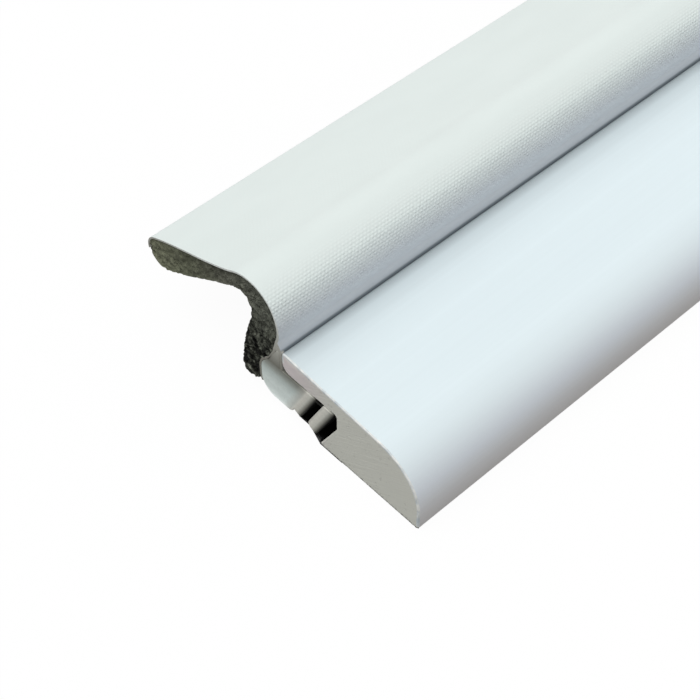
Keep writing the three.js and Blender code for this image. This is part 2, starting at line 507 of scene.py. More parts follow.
def leaf_side(side, distances, proud=lambda distance: 0):
    """Points on the core's front, side 1, or back, side -1, or proud of it."""
    points = []
    for distance in distances:
        point, direction = leaf_line(distance)
        reach = smooth_between(thickness_stations, distance) / 2 + proud(distance)
        points.append(point + side * reach * heading(direction + 90))
    return points


# %% [markdown]
# ## The seal's root
#
# Below the bend line the same foam runs down behind the insert's neck and head to a ragged
# end. Its front lies against them, with the film between, so the outline borrows the neck's
# side and the head's round shoulder. Its back is one gentle arc.

# %% The root's front and back
tail_length = 10.3 * MM
tail_start_lean = 25
tail_end_lean = 8
tail_end_thickness = 3.1 * MM
film_room = 0.3 * MM
neck_stations = (0, 0.8, 1.6, 2.4, 3.0)
head_sweep = 45
head_step = 9


def tail_line(share):
    """A point of the tail's middle line, its lean in degrees and its thickness."""
    turn = tail_start_lean - tail_end_lean
    radius = tail_length / math.radians(turn)
    lean = tail_start_lean - turn * share
    start, here = math.radians(tail_start_lean), math.radians(lean)
    drop = radius * (math.sin(start) - math.sin(here))
    shift = radius * (math.cos(here) - math.cos(start))
    thickness = root_thickness + (tail_end_thickness - root_thickness) * share
    return hinge_place + Vector((shift, -drop)), lean, thickness


def tail_back(steps):
    """Points down the tail's back, from the bend line to its end."""
    points = []
    for i in range(steps + 1):
        point, lean, thickness = tail_line(i / steps)
        points.append(point + thickness / 2 * heading(lean))
    return points


def root_front(room):
    """Points from the bend line down the neck's side and round the head, room away."""
    down_neck = heading(-90 + math.degrees(neck_lean))
    away = heading(math.degrees(neck_lean))
    start = Vector((neck_front + neck_tip, neck_top)) + room * away
    shoulder = Vector((head_right - head_radius, insert_top - head_radius))
    points = [start + down_neck * station * MM for station in neck_stations]
    for angle in range(head_sweep, -1, -head_step):
        points.append(shoulder + (head_radius + room) * heading(angle))
    low_corner = Vector((head_right - head_radius, head_foot + head_radius))
    for angle in range(0, -head_sweep - 1, -head_step):
        points.append(low_corner + (head_radius + room) * heading(angle))
    return points


# %% [markdown]
# ## Foam core
#
# The core is drawn with many short sides, because soft foam has no sharp facets, and its
# cuts are divided into a fine grid that later takes the open cells.

# %% Foam core outline
foam_step = 0.5 * MM
foam_rings = 280
cell_grid = 0.16 * MM
round_step = 12
tail_sweep = 150
tail_front_room = 1.2 * MM
leaf_start = 0.6 * MM


def steps_along(start, end, step):
    count = max(1, round((end - start) / step))
    return [start + (end - start) * i / count for i in range(count + 1)]


def foam_outline():
    """The outline from the tip's top, round the tip, up the back and down to the tail."""
    tip, direction = leaf_line(leaf_length)
    half = tip_thickness / 2
    tip_arc = [tip + half * heading(direction + 90 - a) for a in range(0, 181, round_step)]
    back = leaf_side(-1, steps_along(0, leaf_length, foam_step))[::-1]
    tail = tail_back(round(tail_length / foam_step))
    end, lean, thickness = tail_line(1)
    sweep = range(round_step, tail_sweep, round_step)
    tail_cap = [end + thickness / 2 * heading(lean - a) for a in sweep]
    front = root_front(film_room)[::-1]
    lowest = end.y - tail_end_thickness / 2
    front = [point for point in front if point.y > lowest + tail_front_room]
    leaf = leaf_side(1, steps_along(leaf_start, leaf_length, foam_step))[:-1]
    return tip_arc + back[1:] + tail[2:] + tail_cap + front + leaf


def draw_along(name, outline, rings):
    pen = Pen(name, outline[0].x, outline[0].y)
    pen.follow(outline[1:])
    pen.line(outline[0].x, outline[0].y)
    pen.close()
    draw_out(pen.piece, rings)
    return pen.piece


foam = draw_along("foam_core", foam_outline(), foam_rings)


# %% Divide the foam's cuts into a grid
def grid_the_cuts(piece, spacing):
    """Bisects both cuts across Y and across Z."""
    low, high = Vector(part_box("foam_leaf")[0]), Vector(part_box("foam_leaf")[1])
    low.z = 0
    for axis in (1, 2):
        normal = Vector((0, 0, 0))
        normal[axis] = 1
        count = int((high[axis] - low[axis]) / spacing)
        for i in range(1, count + 1):
            place = Vector((near_cut, 0, 0))
            place[axis] = low[axis] + i * spacing
            if select_faces(piece, faces_the_length):
                bpy.ops.mesh.bisect(plane_co=place, plane_no=normal)


grid_the_cuts(foam, cell_grid)

# %% [markdown]
# A blade opens the foam's bubbles, so the cut is full of small pits. Every point of the grid
# goes inwards by a depth that comes from cellular noise, deepest in the middle of a bubble.
# The tail's end is torn rather than cut, so it is pulled about by a coarser noise.

# %% Open the foam's cells and tear its tail
cell_size = 0.75 * MM
cell_depth = 0.5 * MM
bubble_share = 0.55
cut_wave = 0.25 * MM
wave_size = 3.0 * MM
rim_share = 0.3
tear_height = 2.2 * MM
tear_size = 0.7 * MM
tear_reach = 0.8 * MM
tear_sideways = 0.3
tear_pitting = 0.3
tear_seed = 3


def cell_pit(place):
    """From 0 on a bubble's wall to 1 in its middle."""
    distances, _ = noise.voronoi(place / cell_size)
    return max(0, 1 - (distances[0] / bubble_share) ** 2)


def on_rim(vertex):
    """True where the cut meets the foam's outside."""
    return any(not faces_the_length(face) for face in vertex.link_faces)


def open_cells(piece):
    mesh = bmesh.from_edit_mesh(piece.data)
    for vertex in mesh.verts:
        if on_a_cut(vertex):
            inwards = -math.copysign(1, vertex.co.x)
            wave = 0.5 + 0.5 * noise.noise(vertex.co / wave_size)
            depth = cell_depth * cell_pit(vertex.co) + cut_wave * wave
            vertex.co.x += inwards * depth * (rim_share if on_rim(vertex) else 1)
    bmesh.update_edit_mesh(piece.data)


def tear_tail(piece):
    """Pulls the tail about, most at its end. Without a seed the clock would choose how."""
    noise.seed_set(tear_seed)
    mesh = bmesh.from_edit_mesh(piece.data)
    lowest = min(vertex.co.z for vertex in mesh.verts)
    for vertex in mesh.verts:
        share = 1 - (vertex.co.z - lowest) / tear_height
        if share > 0:
            pull = noise.noise_vector(vertex.co / tear_size) * tear_reach * share
            vertex.co.y += tear_sideways * pull.y
            pit = tear_pitting * tear_reach * share * cell_pit(vertex.co)
            vertex.co.z += abs(pull.z) + pit
    bmesh.update_edit_mesh(piece.data)


open_cells(foam)
tear_tail(foam)
finish_piece(foam, smooth_soft)

# %% How far each point of the foam lies behind the film, for its painted shade
film_shade = 0.5 * MM


def mark_under_film(piece):
    """Stores under_film, the share of painted shade: from 1 against the film to 0 where no shade
    of it falls.
    """
    front = leaf_side(1, steps_along(0, leaf_length, foam_step / 2))
    tree = kdtree.KDTree(len(front))
    for i, point in enumerate(front):
        tree.insert((0, point.x, point.y), i)
    tree.balance()
    shade = piece.data.attributes.new("under_film", "FLOAT", "POINT")
    for vertex in piece.data.vertices:
        distance = tree.find((0, vertex.co.y, vertex.co.z))[2]
        shade.data[vertex.index].value = max(0, 1 - distance / film_shade)


mark_under_film(foam)

# %% [markdown]
# ## Film
#
# The film is one thin strip of woven plastic. It is turned over the leaf's tip and covers the
# whole front. At the lip it parts round the insert's neck: one side goes down into the gap
# and the other goes on between the foam and the insert's head.

# %% Film outline
film_thickness = 0.22 * MM
tongue_thickness = 0.36 * MM
throat_gap = 0.05 * MM
throat_drape = 40
strand_room = 0.06 * MM
film_bite = 0.04 * MM
tip_wrap = 75
wrap_step = 5
drape_step = 10
neck_arc_start = 165
neck_arc_end = 30
neck_arc_step = 15
film_step = 0.3 * MM
film_rings = 29

film_stations = [
    (0, tongue_thickness),
    (flank_length, tongue_thickness),
    (flank_length + knee_place, film_thickness),
    (leaf_length, film_thickness),
]


def film_line(proud_of_foam):
    """Points from the turned tip along the front and down to the bend line."""
    tip, direction = leaf_line(leaf_length)
    reach = tip_thickness / 2 + proud_of_foam(leaf_length)
    wrap = range(tip_wrap, 0, -wrap_step)
    lap = [tip + reach * heading(direction + 90 - a) for a in wrap]
    distances = steps_along(leaf_start, leaf_length, film_step)[::-1]
    return lap + leaf_side(1, distances, proud_of_foam)


def film_throat():
    """Points down beside the lip, back up and over the neck's round tip."""
    face = nose + throat_gap
    back = neck_front - strand_room / 2
    bottom = insert_top + strand_room
    edge = Vector((nose - lip_top_radius, lip_top - lip_top_radius))
    reach = lip_top_radius + throat_gap
    mouth = [edge + reach * heading(a) for a in range(throat_drape, -1, -drape_step)]
    end = [Vector(place) for place in ((face, bottom), (back, bottom), (back, neck_top))]
    tip = Vector((neck_front + neck_tip / 2, neck_top))
    tip_reach = neck_tip / 2 + strand_room / 2
    neck_arc = range(neck_arc_start, neck_arc_end - 1, -neck_arc_step)
    return mouth + end + [tip + tip_reach * heading(a) for a in neck_arc]


def film_outline():
    proud = film_line(lambda distance: smooth_between(film_stations, distance))
    outside = proud + film_throat() + root_front(strand_room)[1:-2]
    inside = film_line(lambda distance: -film_bite) + root_front(film_room + film_bite)[1:-2]
    return outside, inside


film_outside, film_inside = film_outline()
film = draw_along("film_skin_strip", film_outside + film_inside[::-1], film_rings)
finish_piece(film, smooth_soft)


# %% Unroll the film for its weave
def unroll(piece, lines):
    """Gives each corner of the mesh its place along X and its distance down the film."""
    travelled = {}
    for line in lines:
        distance = 0
        for before, point in zip([line[0]] + line, line):
            distance += (point - before).length
            travelled[round(point.x / weld), round(point.y / weld)] = distance
    layer = piece.data.uv_layers.new(name="unrolled")
    for loop in piece.data.loops:
        place = piece.data.vertices[loop.vertex_index].co
        key = round(place.y / weld), round(place.z / weld)
        layer.data[loop.index].uv = (place.x, travelled.get(key, 0))
    print(len(travelled), "points down the film")


unroll(film, [film_outside, film_inside])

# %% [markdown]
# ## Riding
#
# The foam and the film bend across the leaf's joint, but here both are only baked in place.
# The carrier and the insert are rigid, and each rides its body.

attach(carrier, "carrier_bar")
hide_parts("carrier")
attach(insert, "seal_base")
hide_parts("barbed_insert")
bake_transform(foam)
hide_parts("foam_root", "foam_leaf")
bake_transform(film)
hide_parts("film_skin")

# %% [markdown]
# ## Finishes
#
# Each finish is a Principled shader with its own pattern. The patterns are node groups with
# named sockets: a grain that is longer one way, round cells, and the film's weave. They only
# give values, and each material decides what a value does to its colour, gloss or surface.

# %% Helpers for shader nodes
def seen(*levels):
    """A colour written as a screen shows it, from 0 to 255, in the shader's linear units."""
    return tuple(((level / 255 + 0.055) / 1.055) ** 2.4 for level in levels) + (1,)


class Wiring:
    """Adds nodes to one tree. An input is given as a value or as the socket that feeds it."""

    def __init__(self, tree):
        self.nodes, self.links = tree.nodes, tree.links

    def feed(self, socket, value):
        if isinstance(value, bpy.types.NodeSocket):
            self.links.new(value, socket)
        else:
            socket.default_value = value

    def add(self, kind, inputs=None, **settings):
        node = self.nodes.new("ShaderNode" + kind)
        for name, value in settings.items():
            setattr(node, name, value)
        for name, value in (inputs or {}).items():
            self.feed(node.inputs[name], value)
        return node

    def math(self, operation, first, *others):
        """Applies the operation with each further value in turn."""
        for other in others or (0.0,):
            first = self.add("Math", {0: first, 1: other}, operation=operation).outputs[0]
        return first

    def plus(self, *values):
        return self.math("ADD", *values)

    def minus(self, first, second):
        return self.math("SUBTRACT", first, second)

    def times(self, *values):
        return self.math("MULTIPLY", *values)

    def over(self, first, second):
        return self.math("DIVIDE", first, second)

    def between(self, share, low, high):
        """Goes from low to high as the share goes from 0 to 1."""
        return self.plus(low, self.times(share, high - low))

    def fade(self, value, start, end, low=0.0, high=1.0):
        """Goes evenly from low at start to high at end, and stays there."""
        limits = {"From Min": start, "From Max": end, "To Min": low, "To Max": high}
        return self.add("MapRange", {"Value": value, **limits}).outputs[0]

    def split(self, vector):
        return list(self.add("SeparateXYZ", {0: vector}).outputs)

    def join(self, x, y, z=0.0):
        return self.add("CombineXYZ", {0: x, 1: y, 2: z}).outputs[0]

    def ramp(self, value, stops, start=0.0, unit=MM):
        """A colour ramp. A stop is a place, in units from the start, and a colour or a factor."""
        first, last = stops[0][0], stops[-1][0]
        spread = self.fade(value, start + first * unit, start + last * unit)
        node = self.add("ValToRGB", {0: spread})
        elements = node.color_ramp.elements
        while len(elements) < len(stops):
            elements.new(1.0)
        for element, (place, *color) in zip(elements, stops):
            element.position = (place - first) / (last - first)
            element.color = seen(*color) if len(color) == 3 else (*color * 3, 1)
        return node.outputs[0]

    def mix(self, share, first, second):
        inputs = {0: share, 6: first, 7: second}
        return self.add("Mix", inputs, data_type="RGBA").outputs[2]

    def darken(self, color, factor):
        even = self.add("CombineColor", {0: factor, 1: factor, 2: factor}).outputs[0]
        inputs = {0: 1.0, 6: color, 7: even}
        return self.add("Mix", inputs, data_type="RGBA", blend_type="MULTIPLY").outputs[2]

    def use(self, group, **inputs):
        return self.add("Group", inputs, node_tree=group).outputs

    def grained(self, place, along, across):
        """The grain's value, with its sizes along the strip and across it in millimetres."""
        return self.use(grain, Vector=place, Along=along * MM, Across=across * MM)["Value"]


def new_group(name, numbers, outputs):
    """A node group with a Vector, the named numbers and outputs, and the nodes to fill it."""
    group = bpy.data.node_groups.new(name, "ShaderNodeTree")
    group.interface.new_socket("Vector", in_out="INPUT", socket_type="NodeSocketVector")
    for label in numbers:
        socket = group.interface.new_socket(label, in_out="INPUT", socket_type="NodeSocketFloat")
        socket.default_value = 1.0
    for label in outputs:
        group.interface.new_socket(label, in_out="OUTPUT", socket_type="NodeSocketFloat")
    wiring = Wiring(group)
    entry = wiring.nodes.new("NodeGroupInput").outputs
    leave = wiring.nodes.new("NodeGroupOutput").inputs
    return group, wiring, entry, leave


def new_material(name, roughness=0.5, specular=0.5):
    """A material with a Principled shader whose plain values sit on its own sockets."""
    material = bpy.data.materials.new(name)
    material.use_nodes = True
    wiring = Wiring(material.node_tree)
    shader = material.node_tree.nodes["Principled BSDF"].inputs
    shader["Roughness"].default_value = roughness
    shader["Specular IOR Level"].default_value = specular
    place = wiring.add("TexCoord").outputs["Object"]
    return material, wiring, shader, place


def raise_surface(wiring, shader, height, distance):
    inputs = {"Height": height, "Distance": distance, "Strength": 1.0}
    wiring.feed(shader["Normal"], wiring.add("Bump", inputs).outputs[0])


# %% Node group: grain
grain_detail = 3.0
grain_darkest = 0.3
grain_lightest = 0.7


def grain_group():
    """Soft noise from 0 to 1, with one size along the strip and another across it."""
    group, wiring, entry, leave = new_group("grain", ["Along", "Across"], ["Value"])
    x, y, z = wiring.split(entry["Vector"])
    x = wiring.over(x, entry["Along"])
    y, z = wiring.over(y, entry["Across"]), wiring.over(z, entry["Across"])
    inputs = {"Vector": wiring.join(x, y, z), "Scale": 1.0, "Detail": grain_detail}
    speckle = wiring.add("TexNoise", inputs).outputs[0]
    wiring.feed(leave["Value"], wiring.fade(speckle, grain_darkest, grain_lightest))
    return group


# %% Node group: cells
cell_wall_width = 0.18


def cells_group():
    """Round bubbles: where their walls are, and a chance shade for each bubble."""
    group, wiring, entry, leave = new_group("cells", ["Size"], ["Wall", "Shade"])
    inputs = {"Vector": entry["Vector"], "Scale": wiring.over(1.0, entry["Size"])}
    edge = wiring.add("TexVoronoi", inputs, feature="DISTANCE_TO_EDGE").outputs["Distance"]
    wiring.feed(leave["Wall"], wiring.fade(edge, 0.0, cell_wall_width, 1.0, 0.0))
    color = wiring.add("TexVoronoi", inputs).outputs["Color"]
    wiring.feed(leave["Shade"], wiring.add("SeparateColor", {0: color}).outputs[0])
    return group


# %% Node group: weave
def weave_group():
    """Rows of short raised stitches, each row half a stitch on from the one before."""
    outputs = ["Height", "Valley", "Fleck"]
    group, wiring, entry, leave = new_group("weave", ["Stitch", "Row"], outputs)
    x, y, _ = wiring.split(entry["Vector"])
    rows = wiring.over(y, entry["Row"])
    row = wiring.math("FLOOR", rows)
    stitches = wiring.plus(wiring.over(x, entry["Stitch"]), wiring.times(row, 0.5))
    waves = [wiring.math("SINE", wiring.times(count, math.pi)) for count in (stitches, rows)]
    height = wiring.times(*[wiring.math("ABSOLUTE", wave) for wave in waves])
    wiring.feed(leave["Height"], height)
    wiring.feed(leave["Valley"], wiring.minus(1.0, height))
    stitch = wiring.join(wiring.math("FLOOR", stitches), row)
    wiring.feed(leave["Fleck"], wiring.add("TexWhiteNoise", {0: stitch}).outputs["Value"])
    return group


grain, cells, weave = grain_group(), cells_group(), weave_group()
print("node groups", [group.name for group in (grain, cells, weave)])

# %% [markdown]
# The carrier's skin is smooth rigid plastic. The die that it was pushed through leaves very
# faint lines along it, and its white is never quite the same all over. Painted shade darkens
# it in the crease beside the film, where the leaf shades it, and down towards its back edge.

# %% Carrier skin
# Height above the back in millimetres, and the colour there, with painted shade towards the back
# edge
skin_tone_and_painted_shade_by_height = [
    (0.0, 150, 147, 143),
    (0.5, 196, 193, 191),
    (2.5, 214, 213, 213),
    (4.5, 232, 235, 238),
    (6.5, 235, 242, 249),
    (9.5, 234, 246, 250),
    (11.0, 230, 243, 247),
]
# Distance from the nose in millimetres, and how much light the film leaves there, as a painted
# shadow
painted_film_shadow_on_skin = [(-8, 1.0), (-4.5, 0.94), (-3, 0.86), (-1.8, 0.83), (-1, 0.66), (-0.3, 0.5)]
cloud_dullness = 0.02
die_line_depth = 0.004 * MM


def carrier_skin():
    material, wiring, shader, place = new_material("carrier_skin")
    _, y, z = wiring.split(place)
    lines = wiring.grained(place, along=300, across=0.35)
    clouds = wiring.grained(place, along=30, across=9)
    streaky = wiring.between(lines, 0.985, 1.0)
    patchy = wiring.minus(streaky, wiring.times(clouds, cloud_dullness))
    # The leaf's shadow beside the film is painted into the skin's colour
    painted_film_shade = wiring.ramp(y, painted_film_shadow_on_skin, start=nose)
    tone = wiring.ramp(z, skin_tone_and_painted_shade_by_height)
    wiring.feed(shader["Base Color"], wiring.darken(tone, wiring.times(patchy, painted_film_shade)))
    wiring.feed(shader["Roughness"], wiring.between(clouds, 0.3, 0.4))
    raise_surface(wiring, shader, lines, die_line_depth)
    return material


# %% [markdown]
# Inside the skin the plastic is foamed and matte. The saw leaves fine marks across it, with a
# few open pores, darkened with painted shade, and the thin lip, which cooled first, is a little
# paler and pinker. Its upper edge has a painted highlight, frayed nearly white, and the back
# edge is chipped, with a painted contact shade along it.

# %% Carrier core
# Distance from the nose in millimetres, and the colour there
core_by_width = [(-9, 224, 225, 215), (-4, 226, 219, 217), (0, 232, 223, 223)]
painted_highlight_white = seen(255, 252, 246)
saw_angle = 34
pore_size = 0.45 * MM
pore_share = 0.06
pore_painted_shade = 0.12
chip_height = 0.45 * MM
saw_mark_depth = 0.02 * MM


def lip_highlight_share(wiring, y, z):
    """Where the painted highlight goes: 1 close under the front of the lip, and 0 lower down and
    away from the nose.
    """
    fall = wiring.times(wiring.minus(nose, y), front_fall / carrier_width)
    below_front = wiring.minus(wiring.minus(lip_top, fall), z)
    upper = wiring.fade(below_front, 1.3 * MM, 0.3 * MM)
    return wiring.times(upper, wiring.fade(y, nose - 8 * MM, nose - 3 * MM))


def saw_marks(wiring, place):
    """Fine lines across the cut: the grain, turned so that its long way lies in the cut."""
    turn = {0: place, "Rotation": (math.radians(saw_angle), 0, 0)}
    x, y, z = wiring.split(wiring.add("Mapping", turn).outputs[0])
    return wiring.grained(wiring.join(y, z, x), along=9, across=0.16)


def open_pores(wiring, place):
    """1 in the middle of the few bubbles that the saw opened."""
    pores = wiring.use(cells, Vector=place, Size=pore_size)
    opened = wiring.math("GREATER_THAN", pores["Shade"], 1 - pore_share)
    return wiring.times(opened, wiring.minus(1.0, pores["Wall"]))


def carrier_core():
    material, wiring, shader, place = new_material("carrier_core", roughness=0.85)
    _, y, z = wiring.split(place)
    threads = wiring.grained(place, along=1.5, across=1.5)
    # A frayed painted highlight on the lip's upper edge
    frayed_highlight = wiring.times(lip_highlight_share(wiring, y, z), threads)
    tone = wiring.mix(frayed_highlight, wiring.ramp(y, core_by_width, start=nose), painted_highlight_white)
    marks, pores = saw_marks(wiring, place), open_pores(wiring, place)
    sawn = wiring.between(marks, 0.97, 1.01)
    # Painted shade in the open pores
    pitted = wiring.minus(sawn, wiring.times(pores, pore_painted_shade))
    # A ragged painted contact shade along the back edge
    chips = wiring.times(wiring.grained(place, along=0.4, across=0.4), chip_height)
    painted_back_shade = wiring.fade(wiring.minus(z, chips), -0.2 * MM, 0.2 * MM, 0.3, 1.0)
    wiring.feed(shader["Base Color"], wiring.darken(tone, wiring.times(pitted, painted_back_shade)))
    raise_surface(wiring, shader, wiring.minus(marks, pores), saw_mark_depth)
    return material


# %% Frayed rim of the cut, with a painted highlight
rim_dark = seen(204, 214, 218)
rim_highlight = seen(255, 255, 250)
fray_depth = 0.08 * MM


def cut_rim_highlight():
    material, wiring, shader, place = new_material("cut_rim_highlight", roughness=0.8)
    threads = wiring.grained(place, along=1.1, across=1.1)
    wiring.feed(shader["Base Color"], wiring.mix(threads, rim_dark, rim_highlight))
    raise_surface(wiring, shader, threads, fray_depth)
    return material


# %% [markdown]
# The insert is a translucent grey plastic. Its colour carries painted light and shade: a
# painted glow low in the head, where light from the floor would come up through the bottom,
# painted shade under the lip, and painted black towards the slots beside the barbs. So the
# colour follows the height and the place across the barbs.

# %% Insert plastic
# Height above the back in millimetres, and the head's painted light, shade and glow there
head_painted_light_by_height = [
    (1.6, 244, 255, 251),
    (4.4, 244, 255, 251),
    (6.2, 214, 225, 221),
    (7.4, 170, 175, 168),
    (8.4, 134, 134, 125),
    (11.4, 196, 196, 187),
]
painted_glow_by_height = [(1.6, 140, 142, 142), (2.3, 86, 89, 88), (3.6, 0, 0, 0)]
no_glow = seen(0, 0, 0)
# Share of the way from one barb's outer side to the next one's, and the colour there, with
# painted shade that turns black in the slot
barb_painted_shade_by_share = [
    (0.0, 214, 213, 204),
    (0.12, 244, 242, 232),
    (0.34, 224, 224, 214),
    (0.48, 160, 160, 151),
    (0.58, 70, 70, 64),
    (0.63, 18, 18, 15),
    (0.98, 18, 18, 15),
]
streak_depth = 0.012 * MM


def barbs_passed(wiring, y, z):
    """How many barbs lie between the mouth and this place: 0 at the first one's outer side."""
    slope = math.tan(math.radians(barb_lean))
    first_side = nose - barb_place + barb_thickness / 2 / heading(barb_lean).x
    start = first_side + (insert_top - spine_thickness / 2) * slope
    across = wiring.plus(wiring.times(z, slope), y)
    return wiring.over(wiring.minus(start, across), barb_pitch)


def insert_plastic():
    material, wiring, shader, place = new_material("insert_plastic", specular=0.02)
    _, y, z = wiring.split(place)
    passed = barbs_passed(wiring, y, z)
    share = wiring.math("FRACT", wiring.math("MAXIMUM", passed, 0.0))
    is_barb = wiring.fade(passed, -0.35, 0.2)
    # Across each barb the colour darkens to painted black shade in the slot beside it
    barb = wiring.ramp(share, barb_painted_shade_by_share, unit=1)
    color = wiring.mix(is_barb, wiring.ramp(z, head_painted_light_by_height), barb)
    streaks = wiring.grained(place, along=40, across=0.5)
    streaky = wiring.darken(color, wiring.between(streaks, 0.93, 1.02))
    wiring.feed(shader["Base Color"], streaky)
    # A painted glow at the bottom of the head, though the insert is no lamp
    glow = wiring.mix(is_barb, wiring.ramp(z, painted_glow_by_height), no_glow)
    wiring.feed(shader["Emission Color"], glow)
    shader["Emission Strength"].default_value = 1.0
    raise_surface(wiring, shader, streaks, streak_depth)
    return material


# %% [markdown]
# The foam is dark and open. Its colour changes in patches and from cell to cell, more so at
# the root than on the arm. Painted shade darkens it close behind the film, and painted shade
# makes it nearly black down in the tail, where no light gets in.

# %% Foam
# Distance across the strip in millimetres, and the colour there
foam_by_width = [
    (19, 106, 109, 99),
    (26, 108, 109, 98),
    (33, 114, 117, 99),
    (36, 124, 127, 107),
    (40, 142, 145, 122),
]
mottled_least = 0.62
patch_share = 0.5
blotch_share = 0.4
bubble_size = 0.55 * MM
wall_share = 0.2
fine_share = 0.6
speckle_mean = 0.67
film_painted_shade = 0.75
tail_darkness = 0.68
tail_contrast = 3.0
tail_brightness = 1.6
foam_depth = 0.12 * MM


def foam_speckle(wiring, bubbles, fine, coarseness):
    """The shade of each cell and its wall, calmer where the coarseness is low."""
    cell_shade = wiring.between(bubbles["Shade"], 0.7, 1.05)
    lit = wiring.plus(cell_shade, wiring.times(bubbles["Wall"], wall_share))
    speckle = wiring.times(lit, wiring.between(fine, 0.85, 1.15))
    away_from_mean = wiring.times(wiring.minus(speckle, speckle_mean), coarseness)
    return wiring.plus(speckle_mean, away_from_mean)


def tail_shade(wiring, y, z, blotches):
    """Darkens the tail, with more contrast between its blotches further down."""
    low_down = wiring.fade(z, 14.5 * MM, 8.5 * MM)
    tail = wiring.times(low_down, wiring.fade(y, 29 * MM, 25 * MM))
    contrast = wiring.times(tail, tail_contrast)
    harder = wiring.math("POWER", wiring.times(blotches, tail_brightness), contrast)
    return wiring.times(harder, wiring.minus(1.0, wiring.times(tail, tail_darkness)))


def foam_finish():
    material, wiring, shader, place = new_material("foam", roughness=0.95, specular=0.1)
    _, y, z = wiring.split(place)
    patches = wiring.grained(place, along=2.6, across=1.8)
    blotches = wiring.grained(place, along=0.9, across=0.8)
    fine = wiring.grained(place, along=0.3, across=0.3)
    bubbles = wiring.use(cells, Vector=place, Size=bubble_size)
    mottles = wiring.times(patches, patch_share), wiring.times(blotches, blotch_share)
    mottled = wiring.plus(mottled_least, *mottles)
    base = wiring.darken(wiring.ramp(y, foam_by_width), mottled)

    coarseness = wiring.fade(y, 22 * MM, 29 * MM, 1.0, 0.4)
    speckle = foam_speckle(wiring, bubbles, fine, coarseness)
    # Painted shade close behind the film
    near_film = wiring.add("Attribute", attribute_name="under_film").outputs["Fac"]
    painted_film_shade = wiring.minus(1.0, wiring.times(near_film, film_painted_shade))
    shade = wiring.times(speckle, painted_film_shade, tail_shade(wiring, y, z, blotches))
    wiring.feed(shader["Base Color"], wiring.darken(base, shade))

    height = wiring.plus(bubbles["Wall"], wiring.times(fine, fine_share))
    raise_surface(wiring, shader, wiring.times(height, coarseness), foam_depth)
    return material


# %% [markdown]
# The film is a thin woven plastic with a satin surface. Its stitches lie in short offset
# rows, slack on the flank and pulled flat on the arm. The flank has a painted highlight where
# it is curved tightest, painted shade below, bluer, and painted shade turning dark where it goes
# down into the gap beside the lip.

# %% Film
# Height above the back in millimetres, and the flank's colour there, with painted light and shade
flank_painted_light_by_height = [
    (11.7, 98, 108, 116),
    (12.03, 120, 130, 137),
    (12.12, 162, 171, 178),
    (12.26, 200, 208, 215),
    (12.45, 214, 221, 228),
    (12.8, 230, 236, 242),
    (13.3, 238, 243, 249),
    (14.4, 229, 234, 240),
    (15.5, 223, 228, 234),
    (16.9, 229, 236, 238),
    (18.2, 238, 247, 246),
    (19.1, 245, 255, 252),
    (20.0, 236, 245, 242),
    (20.6, 228, 237, 234),
]
# Height above the back in millimetres, and how far the stitches stand up there
slack_by_height = [(13.5, 0.05), (15, 0.5), (16.2, 1.0), (18.2, 1.0), (19.6, 0.5), (20.5, 0.08)]
arm_slack = 0.08
arm_dark = seen(226, 235, 232)
arm_light = seen(229, 238, 235)
frayed_film = seen(206, 205, 196)
stitch_length = 0.62 * MM
row_height = 0.42 * MM
stitch_depth = 0.06 * MM
valley_painted_shade = 0.1
bright_share = 0.1
film_roughness = 0.45
bright_gloss = 0.25


def from_cut(wiring, x):
    """The distance from the nearer cut, inwards."""
    return wiring.minus(strip_length / 2, wiring.math("ABSOLUTE", x))


def film_tone(wiring, place, on_flank):
    """The film's colour before its stitches, with painted light and shade on the flank and the
    frayed thread of its cut in the gap.
    """
    x, _, z = wiring.split(place)
    arm = wiring.mix(wiring.grained(place, along=12, across=6), arm_dark, arm_light)
    color = wiring.mix(on_flank, arm, wiring.ramp(z, flank_painted_light_by_height))
    by_cut = wiring.fade(from_cut(wiring, x), 0.5 * MM, 0.25 * MM)
    frayed = wiring.times(by_cut, wiring.fade(z, 12.2 * MM, 11.9 * MM))
    return wiring.mix(frayed, color, frayed_film)


def film_finish():
    material, wiring, shader, place = new_material("film")
    _, y, z = wiring.split(place)
    on_flank = wiring.fade(y, hinge.y + 2 * MM, hinge.y + 0.5 * MM)
    unrolled = wiring.add("UVMap", uv_map="unrolled").outputs[0]
    stitches = wiring.use(weave, Vector=unrolled, Stitch=stitch_length, Row=row_height)
    slack = wiring.math("MAXIMUM", on_flank, arm_slack)
    slack = wiring.times(slack, wiring.ramp(z, slack_by_height))
    # Painted shade in the valleys between the stitches
    shade = wiring.minus(1.0, wiring.times(slack, valley_painted_shade, stitches["Valley"]))
    color = wiring.darken(film_tone(wiring, place, on_flank), shade)
    wiring.feed(shader["Base Color"], color)
    bright = wiring.math("GREATER_THAN", stitches["Fleck"], 1 - bright_share)
    roughness = wiring.minus(film_roughness, wiring.times(bright, slack, bright_gloss))
    wiring.feed(shader["Roughness"], roughness)
    uneven = wiring.between(stitches["Fleck"], 0.7, 1.3)
    lift = wiring.times(stitches["Height"], uneven, slack)
    raise_surface(wiring, shader, lift, stitch_depth)
    return material


# %% Film's cut edge
# Height above the back in millimetres, and the colour there, with painted shade darker lower down
# beside the insert's neck
edge_tone_and_painted_shade_by_height = [
    (8.5, 128, 126, 116),
    (10.5, 156, 155, 145),
    (12, 182, 182, 173),
    (14, 190, 192, 184),
    (17, 238, 242, 238),
]


def film_edge():
    material, wiring, shader, place = new_material("film_edge", roughness=0.7)
    _, _, z = wiring.split(place)
    shade = wiring.between(wiring.grained(place, along=0.3, across=0.3), 0.85, 1.05)
    wiring.feed(shader["Base Color"], wiring.darken(wiring.ramp(z, edge_tone_and_painted_shade_by_height), shade))
    return material


